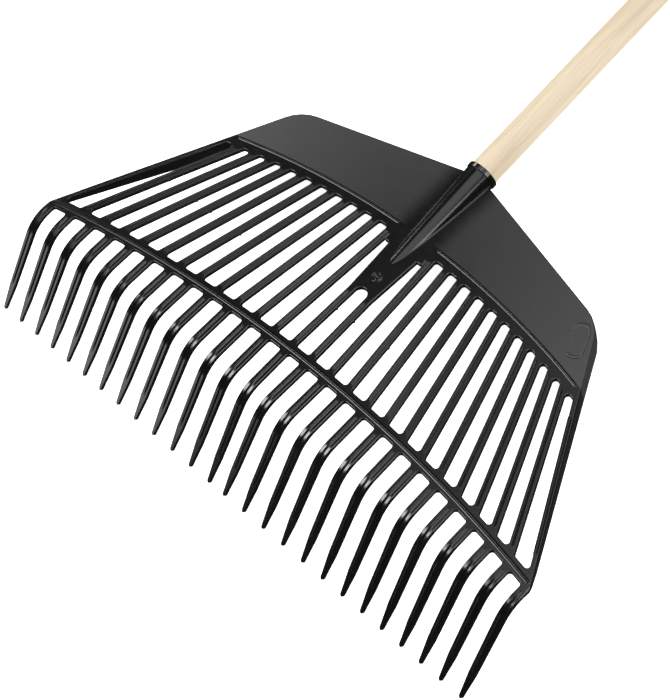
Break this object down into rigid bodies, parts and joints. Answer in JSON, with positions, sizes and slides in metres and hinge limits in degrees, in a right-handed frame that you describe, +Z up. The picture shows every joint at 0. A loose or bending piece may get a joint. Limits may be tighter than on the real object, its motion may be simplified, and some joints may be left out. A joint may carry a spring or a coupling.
{
  "type": "leaf rake",
  "caption": "Wide fan-shaped plastic leaf rake: slatted head with curved spring tines, an arched cross bar and a conical socket on a long round wooden handle.",
  "frame": {"origin": "centre of the rake's outline seen from above, on the ground that the points of the tines and the end of the handle rest on", "axes": "+X across the head, +Y towards the free end of the handle, +Z up; the tines point to -Y and down"},
  "size_m": [0.622, 1.766, 0.0633],
  "materials": {
    "head_plastic": "satin black injection-moulded polypropylene",
    "handle_wood": "pale smooth-turned softwood, clear sealed",
    "screw_steel": "zinc-plated steel"
  },
  "bodies": {
    "root": {"handle": "handle_wood", "fixing_screw": "screw_steel", "handle_socket": "head_plastic", "shoulder_left": "head_plastic", "shoulder_right": "head_plastic", "centre_tongue": "head_plastic", "cross_bar": "head_plastic", "side_rail_left": "head_plastic", "side_rail_right": "head_plastic", "slat_02": "head_plastic", "slat_03": "head_plastic", "slat_04": "head_plastic", "slat_05": "head_plastic", "slat_06": "head_plastic", "slat_07": "head_plastic", "slat_08": "head_plastic", "slat_09": "head_plastic", "slat_10": "head_plastic", "slat_11": "head_plastic", "slat_12": "head_plastic", "slat_13": "head_plastic", "slat_14": "head_plastic", "slat_15": "head_plastic", "slat_16": "head_plastic", "slat_17": "head_plastic", "slat_18": "head_plastic", "slat_19": "head_plastic", "slat_20": "head_plastic", "slat_21": "head_plastic", "slat_22": "head_plastic", "slat_23": "head_plastic", "slat_24": "head_plastic", "slat_25": "head_plastic", "tine_01": "head_plastic", "tine_02": "head_plastic", "tine_03": "head_plastic", "tine_04": "head_plastic", "tine_05": "head_plastic", "tine_06": "head_plastic", "tine_07": "head_plastic", "tine_08": "head_plastic", "tine_09": "head_plastic", "tine_10": "head_plastic", "tine_11": "head_plastic", "tine_12": "head_plastic", "tine_13": "head_plastic", "tine_14": "head_plastic", "tine_15": "head_plastic", "tine_16": "head_plastic", "tine_17": "head_plastic", "tine_18": "head_plastic", "tine_19": "head_plastic", "tine_20": "head_plastic", "tine_21": "head_plastic", "tine_22": "head_plastic", "tine_23": "head_plastic", "tine_24": "head_plastic", "tine_25": "head_plastic", "tine_26": "head_plastic"}
  },
  "joints": []
}
